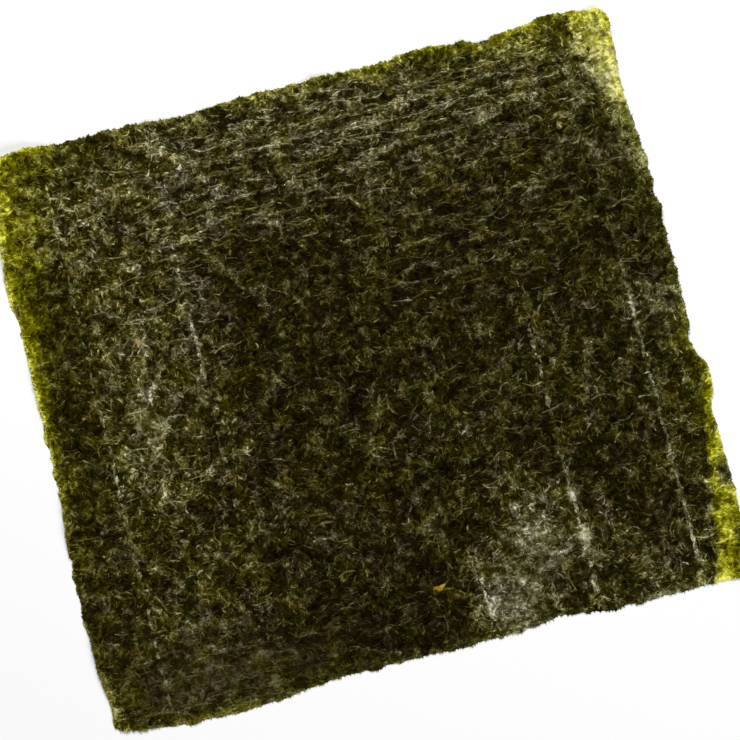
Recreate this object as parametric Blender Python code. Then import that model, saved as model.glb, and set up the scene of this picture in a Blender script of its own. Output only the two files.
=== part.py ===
"""A full-size sheet of dried nori: one thin, wavy, felted leaf with ragged edges.

Units are metres. The sheet lies on the plane z = 0, long side along X, short side along Y,
with the origin under the middle of its box. The underside touches the plane over flat spots
in its middle and rises from it in swells, curled corners and a flutter along the edges.
"""

import math
from collections import namedtuple

import bmesh
import bpy
from mathutils import Vector, noise
from mathutils.geometry import delaunay_2d_cdt
from mathutils.kdtree import KDTree

# The sheet as it is dried, between its mean edges: frayed lobes and bows make up 21 by 19 cm.
SHEET_LENGTH = 0.2075
SHEET_WIDTH = 0.1875
THICKNESS = 0.00032
THICKNESS_SPREAD = 0.00009
FELT_LUMP = 0.009
FINE_FELT_LUMP = 0.5 * FELT_LUMP
CORNER_RADIUS = 0.0055

# Spacing of the points along the outline and across the faces.
OUTLINE_PITCH = 0.0018
FACE_PITCH = 0.0044
CLEAR_OF_OUTLINE = 0.62 * FACE_PITCH

# The frayed edge: lobes of felt with notches between them, and smaller lobes on those. The
# notches are cut into the straight side by a share of the lobes' depth.
FRAY_DEPTH = 0.0016
FRAY_LENGTH = 0.0042
FRAY_SEED = 7.3
FINE_FRAY_LENGTH = 0.45 * FRAY_LENGTH
FINE_FRAY_SHARE = 0.5
NOTCH_SHARE = 0.3

# How the sheet lies: everything lower than SAG rests flat on the surface.
SAG = 0.0004
SETTLE_BLEND = 0.0006
FLUTTER = 0.0013
FLUTTER_LENGTH_X = 0.052
FLUTTER_LENGTH_Y = 0.044
FLUTTER_PHASE_X = 0.6
FLUTTER_PHASE_Y = -0.9
FLUTTER_EDGE_POWER = 3

NORI_BROWN_GREEN = (0.030, 0.026, 0.007, 1.0)
NORI_ROUGHNESS = 0.48
SHARP_EDGE_DEGREES = 50

# A bow moves the edge outward by out over half_width on each side of at, along that side.
Bow = namedtuple("Bow", "at half_width out")
BOWS = {
    "right": (Bow(-0.017, 0.007, -0.0015), Bow(-0.030, 0.009, 0.0021),
              Bow(0.066, 0.027, -0.0020)),
    "top": (Bow(-0.038, 0.016, -0.0013), Bow(0.041, 0.011, 0.0014),
            Bow(0.062, 0.006, -0.0018), Bow(0.085, 0.018, 0.0012)),
    "left": (Bow(-0.050, 0.040, 0.0018), Bow(0.051, 0.017, 0.0013)),
    "bottom": (Bow(-0.068, 0.042, 0.0030), Bow(0.042, 0.016, -0.0020)),
}

# A swell lifts the sheet by rise, falling off over reach_x and reach_y.
Swell = namedtuple("Swell", "x y reach_x reach_y rise")
SWELLS = (
    Swell(0.034, -0.074, 0.017, 0.024, 0.0019),    # blistered patch, lower right
    Swell(-0.075, -0.008, 0.013, 0.028, 0.0012),   # long swell by the left edge
    Swell(-0.050, 0.034, 0.009, 0.017, 0.0010),    # small swell above it
    Swell(-0.004, 0.079, 0.056, 0.012, 0.0014),    # band along the top edge
    Swell(0.037, 0.030, 0.021, 0.010, 0.0011),     # low ridge right of the middle
    Swell(-0.031, -0.046, 0.021, 0.015, 0.0009),   # low swell left of the middle
    Swell(0.108, 0.074, 0.013, 0.036, 0.0042),     # curl of the top right corner
    Swell(0.107, -0.004, 0.010, 0.017, 0.0019),    # lift of the right edge
    Swell(0.108, -0.098, 0.026, 0.022, 0.0027),    # curl of the bottom right corner
    Swell(-0.108, 0.098, 0.030, 0.026, 0.0034),    # curl of the top left corner
    Swell(-0.108, -0.097, 0.017, 0.015, 0.0016),   # curl of the bottom left corner
)


def falloff(distance, half_width):
    """Smooth bump: 1 at no distance, 0 from half_width on."""
    share = min(abs(distance) / half_width, 1.0)
    return 0.5 + 0.5 * math.cos(math.pi * share)


def bow_of(side, at):
    """How far the named side stands out of the straight line at this place."""
    return sum(bow.out * falloff(at - bow.at, bow.half_width) for bow in BOWS[side])


def fray(x, y):
    """How far the felt reaches out at this place of the edge: round lobes, sharp notches."""
    coarse = noise.noise(Vector((x, y, FRAY_SEED * FRAY_LENGTH)) / FRAY_LENGTH)
    fine = noise.noise(Vector((y, x, FRAY_SEED * FRAY_LENGTH)) / FINE_FRAY_LENGTH)
    return FRAY_DEPTH * (abs(coarse) + FINE_FRAY_SHARE * abs(fine) - NOTCH_SHARE)


def straight_side(side):
    """Points and outward normals along one straight side, anticlockwise, without its corners."""
    half_x = SHEET_LENGTH / 2
    half_y = SHEET_WIDTH / 2
    along_x = side in ("top", "bottom")
    run = (half_x if along_x else half_y) - CORNER_RADIUS
    steps = round(2 * run / OUTLINE_PITCH)
    direction = 1 if side in ("right", "bottom") else -1
    points = []
    for step in range(steps + 1):
        at = direction * (2 * run * step / steps - run)
        if along_x:
            normal = Vector((0, 1 if side == "top" else -1))
            base = Vector((at, normal.y * half_y))
        else:
            normal = Vector((1 if side == "right" else -1, 0))
            base = Vector((normal.x * half_x, at))
        points.append((base + normal * bow_of(side, at), normal))
    return points


def corner(start, end):
    """Points and normals round the corner from the end of one side to the start of the next."""
    (first, first_normal), (last, last_normal) = start, end
    steps = round(math.pi / 2 * CORNER_RADIUS / OUTLINE_PITCH)
    points = []
    for step in range(1, steps):
        angle = math.pi / 2 * step / steps
        turned = first_normal * math.cos(angle) + last_normal * math.sin(angle)
        share_x = math.sin(angle)
        share_y = 1 - math.cos(angle)
        reach = last - first
        along = last_normal * reach.dot(last_normal) * share_x
        across = first_normal * reach.dot(first_normal) * share_y
        points.append((first + along + across, turned))
    return points


def sheet_outline():
    """The frayed outline of the sheet, anticlockwise from the foot of its right side."""
    sides = [straight_side(side) for side in ("right", "top", "left", "bottom")]
    loop = []
    for index, side in enumerate(sides):
        following = sides[(index + 1) % len(sides)]
        loop += side + corner(side[-1], following[0])
    return [point + normal * fray(point.x, point.y) for point, normal in loop]


def is_inside(point, outline):
    """Even-odd test of a point against the closed outline."""
    inside = False
    previous = outline[-1]
    for current in outline:
        if (current.y > point.y) != (previous.y > point.y):
            share = (point.y - previous.y) / (current.y - previous.y)
            if point.x < previous.x + share * (current.x - previous.x):
                inside = not inside
        previous = current
    return inside


def face_points(outline):
    """Evenly spread points inside the outline, on a grid of near equal triangles."""
    border = KDTree(len(outline))
    for index, point in enumerate(outline):
        border.insert(point.to_3d(), index)
    border.balance()
    row_pitch = FACE_PITCH * math.sqrt(3) / 2
    rows = math.ceil(SHEET_WIDTH / row_pitch / 2) + 1
    columns = math.ceil(SHEET_LENGTH / FACE_PITCH / 2) + 1
    points = []
    for row in range(-rows, rows + 1):
        stagger = 0.5 * (row % 2)
        for column in range(-columns, columns + 1):
            point = Vector(((column + stagger) * FACE_PITCH, row * row_pitch))
            clearance = border.find(point.to_3d())[2]
            if clearance > CLEAR_OF_OUTLINE and is_inside(point, outline):
                points.append(point)
    return points


def edge_share(x, y):
    """0 in the middle of the sheet, rising to 1 at its edges."""
    across = abs(2 * x / SHEET_LENGTH) ** FLUTTER_EDGE_POWER
    along = abs(2 * y / SHEET_WIDTH) ** FLUTTER_EDGE_POWER
    return min(across + along, 1.0)


def lift(x, y):
    """Height of the underside over the surface: flat where the sheet lies on it."""
    rise = -SAG
    for swell in SWELLS:
        offset_x = (x - swell.x) / swell.reach_x
        offset_y = (y - swell.y) / swell.reach_y
        rise += swell.rise * math.exp(-offset_x ** 2 - offset_y ** 2)
    wave = math.sin(2 * math.pi * x / FLUTTER_LENGTH_X + FLUTTER_PHASE_X)
    wave += math.sin(2 * math.pi * y / FLUTTER_LENGTH_Y + FLUTTER_PHASE_Y)
    rise += FLUTTER * edge_share(x, y) * wave
    if rise <= 0:
        return 0.0
    if rise < SETTLE_BLEND:
        return rise ** 2 / (2 * SETTLE_BLEND)
    return rise - SETTLE_BLEND / 2


def felt_thickness(x, y):
    """Thickness of the felt, which varies in lumps."""
    lump = noise.noise(Vector((x, y, FELT_LUMP)) / FELT_LUMP)
    grain = noise.noise(Vector((y, x, FELT_LUMP)) / FINE_FELT_LUMP)
    return THICKNESS + THICKNESS_SPREAD * (lump + grain)


def build_sheet_mesh():
    """One closed leaf: both faces in the same triangles, joined by a narrow rim."""
    outline = sheet_outline()
    plan = outline + face_points(outline)
    border = list(range(len(outline)))
    points, _, triangles, *_ = delaunay_2d_cdt(plan, [], [border], 1, 1e-9)

    middle_x = (min(p.x for p in points) + max(p.x for p in points)) / 2
    middle_y = (min(p.y for p in points) + max(p.y for p in points)) / 2
    mesh = bmesh.new()
    lower = []
    upper = []
    for point in points:
        height = lift(point.x, point.y)
        thickness = felt_thickness(point.x, point.y)
        place = (point.x - middle_x, point.y - middle_y)
        lower.append(mesh.verts.new((*place, height)))
        upper.append(mesh.verts.new((*place, height + thickness)))

    for triangle in triangles:
        mesh.faces.new([upper[index] for index in triangle])
        mesh.faces.new([lower[index] for index in reversed(triangle)])
    for index in border:
        following = (index + 1) % len(border)
        mesh.faces.new((lower[index], lower[following], upper[following]))
        mesh.faces.new((lower[index], upper[following], upper[index]))

    data = bpy.data.meshes.new("nori_sheet")
    mesh.to_mesh(data)
    mesh.free()
    return data


def nori_material():
    """Dark brown-green dried laver with a dull gloss."""
    material = bpy.data.materials.new("dried_nori")
    material.use_nodes = True
    shader = material.node_tree.nodes["Principled BSDF"]
    shader.inputs["Base Color"].default_value = NORI_BROWN_GREEN
    shader.inputs["Roughness"].default_value = NORI_ROUGHNESS
    shader.inputs["Metallic"].default_value = 0.0
    return material


def main():
    """Clear the scene and build the sheet."""
    for old in list(bpy.data.objects):
        bpy.data.objects.remove(old, do_unlink=True)
    data = build_sheet_mesh()
    data.materials.append(nori_material())
    data.shade_smooth()
    data.set_sharp_from_angle(angle=math.radians(SHARP_EDGE_DEGREES))
    bpy.context.collection.objects.link(bpy.data.objects.new("nori_sheet", data))


main()
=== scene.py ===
"""Looks of a full-size nori sheet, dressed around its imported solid.

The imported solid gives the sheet's border, its swells and its thickness. Over that form this
script builds the felt that a nori sheet is: a fine wrinkled leaf with a frayed rim, thousands
of small dried blades lying in and on it, and the marks of the reed mat it was dried on.
Plan sizes and heights are worked in millimetres and turned to metres when a mesh is made.
"""

from __future__ import annotations

import logging
import math
from dataclasses import dataclass, field
from enum import Enum

import bmesh
import bpy
import numpy as np
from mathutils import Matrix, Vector
from mathutils.bvhtree import BVHTree
from mathutils.geometry import delaunay_2d_cdt
from mathutils.kdtree import KDTree


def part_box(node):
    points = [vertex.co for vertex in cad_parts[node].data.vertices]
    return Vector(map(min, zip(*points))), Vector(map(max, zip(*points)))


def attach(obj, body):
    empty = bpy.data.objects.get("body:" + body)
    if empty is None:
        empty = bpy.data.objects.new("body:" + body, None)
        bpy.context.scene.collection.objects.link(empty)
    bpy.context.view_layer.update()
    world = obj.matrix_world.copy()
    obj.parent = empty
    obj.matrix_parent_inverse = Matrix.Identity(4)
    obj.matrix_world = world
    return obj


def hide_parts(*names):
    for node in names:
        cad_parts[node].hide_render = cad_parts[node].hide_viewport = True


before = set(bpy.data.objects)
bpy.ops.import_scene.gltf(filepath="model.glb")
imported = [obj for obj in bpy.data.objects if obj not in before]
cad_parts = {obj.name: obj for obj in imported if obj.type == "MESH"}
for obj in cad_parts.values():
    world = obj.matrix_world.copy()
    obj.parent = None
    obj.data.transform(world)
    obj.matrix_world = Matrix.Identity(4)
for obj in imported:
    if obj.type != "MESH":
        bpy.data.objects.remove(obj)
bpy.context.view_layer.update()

log = logging.getLogger("nori")

MM = 0.001
BODY = "root"
SHEET_NODE = "nori_sheet"
BAKE_MAP = "OFBake"

# Lightness is the mean of a colour's sRGB values, 0 to 255. This is the lightest that felt gets.
LIGHTEST = 200.0

# Seeds of the random draws, so that every run gives the same sheet.
FRAY_SEED = 11
FELT_SEED = 3
UPPER_FACE_SEED = 21
UNDER_FACE_SEED = 22
FIRST_BLADE_SEED = 31


# ---------------------------------------------------------------- numbers and colours


def linear_rgba(colour: str, alpha: float = 1.0) -> tuple[float, float, float, float]:
    """Turn an sRGB hex colour into linear light.

    Args:
        colour: six hex digits after a hash sign.
        alpha: the fourth value, passed through.

    Returns:
        Linear red, green, blue and alpha.
    """
    channels = [int(colour[start:start + 2], 16) / 255 for start in (1, 3, 5)]
    linear = [c / 12.92 if c <= 0.04045 else ((c + 0.055) / 1.055) ** 2.4 for c in channels]
    return (*linear, alpha)


@dataclass(frozen=True)
class Hue:
    """Hue of a run of tones, as differences between their sRGB values, 0 to 255.

    Attributes:
        red_lead: how far red stands over green.
        yellow: how far green stands over blue in the light tones.
        settle: lightness over which that difference builds up.
    """

    red_lead: float
    yellow: float
    settle: float

    def tone(self, lightness: float) -> str:
        """Work out one tone of the hue.

        Args:
            lightness: mean of the tone's red, green and blue, 0 to 255.

        Returns:
            The tone as an sRGB hex colour.
        """
        yellow = self.yellow * (1 - math.exp(-lightness / self.settle))
        green = lightness + (yellow - self.red_lead) / 3
        channels = (green + self.red_lead, green, green - yellow)
        return "#" + "".join(f"{round(min(max(channel, 0), 255)):02x}" for channel in channels)


def smooth_step(low: float, high: float, value: np.ndarray) -> np.ndarray:
    """Ease from 0 at low to 1 at high."""
    share = np.clip((value - low) / (high - low), 0.0, 1.0)
    return share * share * (3 - 2 * share)


@dataclass
class Grain:
    """Seeded gradient noise over the plane.

    Attributes:
        seed: fixes the lattice of gradients.
        turn: angle of the lattice, in radians, so that it lies along no side of the sheet.
        size: lattice cells before the noise repeats.
        slope_x: the gradients' parts along the lattice.
        slope_y: the gradients' parts across the lattice.
    """

    seed: int
    turn: float = 0.62
    size: int = 256
    slope_x: np.ndarray = field(init=False)
    slope_y: np.ndarray = field(init=False)

    def __post_init__(self) -> None:
        """Draw the lattice's gradient directions."""
        angle = np.random.default_rng(self.seed).uniform(0, 2 * math.pi, (self.size, self.size))
        self.slope_x = np.cos(angle)
        self.slope_y = np.sin(angle)

    def at(self, x: np.ndarray, y: np.ndarray, cell: float) -> np.ndarray:
        """Sample the noise.

        Args:
            x: places along the sheet.
            y: places across the sheet.
            cell: size of one lattice cell, in the same unit.

        Returns:
            Values from about -1 to 1.
        """
        across = (x * math.cos(self.turn) - y * math.sin(self.turn)) / cell
        along = (x * math.sin(self.turn) + y * math.cos(self.turn)) / cell
        column, row = np.floor(across), np.floor(along)
        over, up = across - column, along - row
        ease_over = over ** 3 * (over * (over * 6 - 15) + 10)
        ease_up = up ** 3 * (up * (up * 6 - 15) + 10)
        total = np.zeros_like(over)
        for step_x in (0, 1):
            for step_y in (0, 1):
                cell_x = (column.astype(int) + step_x) % self.size
                cell_y = (row.astype(int) + step_y) % self.size
                slope = self.slope_x[cell_x, cell_y] * (over - step_x)
                slope = slope + self.slope_y[cell_x, cell_y] * (up - step_y)
                weight_x = ease_over if step_x else 1 - ease_over
                weight_y = ease_up if step_y else 1 - ease_up
                total += slope * weight_x * weight_y
        return total * math.sqrt(2)

    def ridges(self, x: np.ndarray, y: np.ndarray, cell: float) -> np.ndarray:
        """Thin crests where the noise passes zero: 1 on a crest, falling to 0."""
        return 1 - np.abs(self.at(x, y, cell))


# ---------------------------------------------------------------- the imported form


@dataclass
class SheetForm:
    """Border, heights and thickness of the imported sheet, read once from its solid.

    Attributes:
        node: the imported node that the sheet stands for.
        border_pitch: spacing of the fine border's points, mm.
        height_pitch: spacing of the height samples, mm.
        spare_cells: height samples taken past the sheet on each side.
        fray: how far the finest fringes move the border, mm.
        lobe: length of a lobe along the frayed border, mm.
        small_lobe: length of the smaller lobes on those, mm.
        small_share: how far the smaller lobes stand out, as a share of the others.
        notch: share of a lobe's depth by which the notches cut into the border.
        low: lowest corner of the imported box, mm.
        high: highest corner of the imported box, mm.
        border: the fine border's points in order, one row each, mm.
        border_tree: finds the border's nearest point.
        grid_low: where the height grids start, mm.
        upper_grid: heights of the upper face, mm.
        under_grid: heights of the underside, mm.
    """

    node: str
    border_pitch: float = 0.45
    height_pitch: float = 2.0
    spare_cells: int = 3
    fray: float = 0.5
    lobe: float = 1.9
    small_lobe: float = 0.8
    small_share: float = 0.7
    notch: float = 0.3
    low: np.ndarray = field(init=False)
    high: np.ndarray = field(init=False)
    border: np.ndarray = field(init=False)
    border_tree: KDTree = field(init=False)
    grid_low: np.ndarray = field(init=False)
    upper_grid: np.ndarray = field(init=False)
    under_grid: np.ndarray = field(init=False)

    def __post_init__(self) -> None:
        """Read the solid and lay out the fine border and the height grids."""
        low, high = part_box(self.node)
        self.low = np.array(low) / MM
        self.high = np.array(high) / MM
        solid = bmesh.new()
        solid.from_mesh(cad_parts[self.node].data)
        bmesh.ops.remove_doubles(solid, verts=solid.verts, dist=0.01 * MM)
        solid.normal_update()
        coarse = self._rim_loop(solid)
        tree = BVHTree.FromBMesh(solid)
        solid.free()
        self.border = self._fray_border(coarse)
        self.border_tree = KDTree(len(self.border))
        for index, (x, y) in enumerate(self.border):
            self.border_tree.insert((x, y, 0), index)
        self.border_tree.balance()
        self.upper_grid, self.under_grid = self._height_grids(tree)

    @staticmethod
    def _rim_loop(solid: bmesh.types.BMesh) -> np.ndarray:
        """Chain the upper edges of the upright rim faces into one loop.

        Args:
            solid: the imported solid.

        Returns:
            Plan of the loop's points in order, one row each, mm.
        """
        upright = 0.3
        following = {}
        for face in solid.faces:
            if abs(face.normal.z) > upright:
                continue
            for loop in face.loops:
                others = [f for f in loop.edge.link_faces if f is not face]
                if others and others[0].normal.z > upright:
                    following[loop.link_loop_next.vert.index] = loop.vert.index
        solid.verts.ensure_lookup_table()
        start = next(iter(following))
        chain = [start]
        while following[chain[-1]] != start:
            chain.append(following[chain[-1]])
        return np.array([solid.verts[index].co[:2] for index in chain]) / MM

    def _fray_border(self, coarse: np.ndarray) -> np.ndarray:
        """Resample the rim finely and add small lobes and notches, kept inside the box.

        Args:
            coarse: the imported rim's points in order, one row each, mm.

        Returns:
            The fine border's points in order, one row each, mm.
        """
        span = np.linalg.norm(np.roll(coarse, -1, 0) - coarse, axis=1)
        at = np.concatenate([[0], np.cumsum(span)])
        total = at[-1]
        count = int(total / self.border_pitch)
        wanted = np.arange(count) * total / count
        closed = np.vstack([coarse, coarse[:1]])
        points = np.stack([np.interp(wanted, at, closed[:, axis]) for axis in (0, 1)], 1)
        smoothing_rounds = 2
        for _ in range(smoothing_rounds):
            points = (np.roll(points, 1, 0) + 2 * points + np.roll(points, -1, 0)) / 4
        along = np.roll(points, -1, 0) - np.roll(points, 1, 0)
        outward = np.stack([along[:, 1], -along[:, 0]], 1)
        outward /= np.linalg.norm(outward, axis=1, keepdims=True)
        grain = Grain(FRAY_SEED)
        x, y = points.T
        lobes = np.abs(grain.at(x, y, self.lobe)) - self.notch
        small_lobes = np.abs(grain.at(y, x, self.small_lobe)) - self.notch
        lobes += self.small_share * small_lobes
        points = points + outward * (self.fray * lobes)[:, None]
        margin = 0.05
        return np.clip(points, self.low[:2] + margin, self.high[:2] - margin)

    def _height_grids(self, tree: BVHTree) -> tuple[np.ndarray, np.ndarray]:
        """Sample both faces on a grid and spread the values a little past the border.

        Args:
            tree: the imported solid, ready for rays.

        Returns:
            Heights of the upper face and of the underside on the grid, mm.
        """
        span = self.high - self.low
        columns = math.ceil(span[0] / self.height_pitch) + 2 * self.spare_cells + 1
        rows = math.ceil(span[1] / self.height_pitch) + 2 * self.spare_cells + 1
        self.grid_low = self.low[:2] - self.spare_cells * self.height_pitch
        upper = np.full((columns, rows), np.nan)
        under = np.full((columns, rows), np.nan)
        clear_of_sheet = 10
        above = (self.high[2] + clear_of_sheet) * MM
        down = Vector((0, 0, -1))
        for column in range(columns):
            for row in range(rows):
                x, y = (self.grid_low + np.array([column, row]) * self.height_pitch) * MM
                top = tree.ray_cast(Vector((x, y, above)), down)[0]
                if top is None:
                    continue
                upper[column, row] = top.z / MM
                foot = tree.ray_cast(Vector((x, y, -above)), -down)[0]
                under[column, row] = foot.z / MM
        return self._spread(upper), self._spread(under)

    @staticmethod
    def _spread(grid: np.ndarray) -> np.ndarray:
        """Fill the empty cells round the sheet with the mean of their known neighbours.

        Args:
            grid: heights, with nan where the sheet doesn't reach.

        Returns:
            The grid with every cell filled.
        """
        while np.isnan(grid).any():
            padded = np.pad(grid, 1, constant_values=np.nan)
            near = [padded[1 + dx:padded.shape[0] - 1 + dx, 1 + dy:padded.shape[1] - 1 + dy]
                    for dx in (-1, 0, 1) for dy in (-1, 0, 1)]
            known = ~np.isnan(near)
            total = np.where(known, near, 0).sum(0)
            mean = total / np.maximum(known.sum(0), 1)
            grid = np.where(np.isnan(grid) & known.any(0), mean, grid)
        return grid

    def _sample(self, grid: np.ndarray, x: np.ndarray, y: np.ndarray) -> np.ndarray:
        """Read a height grid smoothly, as a cubic B-spline.

        Args:
            grid: heights on the grid, mm.
            x: places along the sheet, mm.
            y: places across the sheet, mm.

        Returns:
            Height at each place, mm.
        """
        at_x = (x - self.grid_low[0]) / self.height_pitch
        at_y = (y - self.grid_low[1]) / self.height_pitch
        column = np.clip(np.floor(at_x).astype(int), 1, grid.shape[0] - 3)
        row = np.clip(np.floor(at_y).astype(int), 1, grid.shape[1] - 3)
        total = np.zeros_like(at_x)
        for step_x, weight_x in enumerate(self._spline_weights(at_x - column)):
            for step_y, weight_y in enumerate(self._spline_weights(at_y - row)):
                total += weight_x * weight_y * grid[column + step_x - 1, row + step_y - 1]
        return total

    @staticmethod
    def _spline_weights(share: np.ndarray) -> tuple[np.ndarray, ...]:
        """Work out the four weights of a cubic B-spline.

        Args:
            share: how far along its cell each place is, 0 to 1.

        Returns:
            Weights of the grid points before, at, after and next after each place.
        """
        return (
            (1 - share) ** 3 / 6,
            (3 * share ** 3 - 6 * share ** 2 + 4) / 6,
            (-3 * share ** 3 + 3 * share ** 2 + 3 * share + 1) / 6,
            share ** 3 / 6,
        )

    def top(self, x: np.ndarray, y: np.ndarray) -> np.ndarray:
        """Height of the upper face, mm."""
        return self._sample(self.upper_grid, x, y)

    def under(self, x: np.ndarray, y: np.ndarray) -> np.ndarray:
        """Height of the underside, mm."""
        return np.maximum(self._sample(self.under_grid, x, y), 0.0)

    def inset(self, x: np.ndarray, y: np.ndarray) -> np.ndarray:
        """Distance to the nearest point of the border, mm."""
        find = self.border_tree.find
        return np.array([find((a, b, 0))[2] for a, b in zip(x.ravel(), y.ravel())]).reshape(x.shape)

    def encloses(self, x: np.ndarray, y: np.ndarray) -> np.ndarray:
        """Test which places lie inside the fine border, by counting crossings.

        Args:
            x: places along the sheet, mm.
            y: places across the sheet, mm.

        Returns:
            True for each place inside.
        """
        inside = np.zeros(x.shape, bool)
        start = np.roll(self.border, 1, 0)
        for (x0, y0), (x1, y1) in zip(start, self.border):
            if y0 == y1:
                continue
            crosses = (y0 > y) != (y1 > y)
            inside ^= crosses & (x < x0 + (y - y0) / (y1 - y0) * (x1 - x0))
        return inside


# ---------------------------------------------------------------- marks of drying


@dataclass(frozen=True)
class Patch:
    """A soft-edged patch of the sheet.

    Attributes:
        x: its middle along the sheet, mm.
        y: its middle across the sheet, mm.
        reach_x: how far it reaches along the sheet, mm.
        reach_y: how far it reaches across the sheet, mm.
        strength: its strength in the middle.
    """

    x: float
    y: float
    reach_x: float
    reach_y: float
    strength: float

    def at(self, x: np.ndarray, y: np.ndarray) -> np.ndarray:
        """Strength of the patch at each place."""
        far = ((x - self.x) / self.reach_x) ** 2 + ((y - self.y) / self.reach_y) ** 2
        return self.strength * np.exp(-far)


@dataclass(frozen=True)
class ThinEdge:
    """How one stretch of the rim pales and yellows where the felt thins out, partly its own colour
    and partly painted light shining through it from the table.

    Attributes:
        stretch: the part of the sheet whose nearest rim this is.
        gain: power of e by which the very edge is lighter than the felt inside.
        reach: distance over which that fades, mm.
        yellow: how yellow-green the edge is, 0 to 1.
        yellow_reach: distance over which the yellow fades, mm.
    """

    stretch: Patch
    gain: float
    reach: float
    yellow: float
    yellow_reach: float


@dataclass(frozen=True)
class ThinCorner:
    """A corner where the felt is thin past a slanting line, across * x + up * y = start. Its paleness
    is partly painted light shining through the thin felt.

    Attributes:
        across: weight of a place along the sheet.
        up: weight of a place across the sheet.
        start: where the line lies, mm.
        ease: distances past the line between which the felt thins out, mm.
        gain: power of e by which the corner is lighter.
        yellow: how yellow-green the corner is, 0 to 1.
        waver: how far the line wavers, mm.
        from_x: places along the sheet between which the corner sets in, mm.
        from_y: places across the sheet between which the corner sets in, mm.
    """

    across: float
    up: float
    start: float
    ease: tuple[float, float]
    gain: float
    yellow: float
    waver: float = 0.0
    from_x: tuple[float, float] = (-400.0, -300.0)
    from_y: tuple[float, float] = (-400.0, -300.0)

    def share(self, x: np.ndarray, y: np.ndarray, grain: Grain) -> np.ndarray:
        """How much each place belongs to the thin corner.

        Args:
            x: places along the sheet, mm.
            y: places across the sheet, mm.
            grain: the noise by which the line wavers.

        Returns:
            Shares from 0 to 1.
        """
        waver_length = 3.4
        past = self.across * x + self.up * y - self.start
        past = past + self.waver * grain.at(x, y, waver_length)
        inside = smooth_step(*self.from_x, x) * smooth_step(*self.from_y, y)
        return smooth_step(*self.ease, past) * inside


@dataclass(frozen=True)
class ThreadRow:
    """One row of dashes pressed by a binding thread of the drying mat.

    Attributes:
        x: place of the row along the sheet, mm.
        strengths: how clearly it shows at four places, from the foot of the sheet to its head.
    """

    x: float
    strengths: tuple[float, float, float, float]


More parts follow.
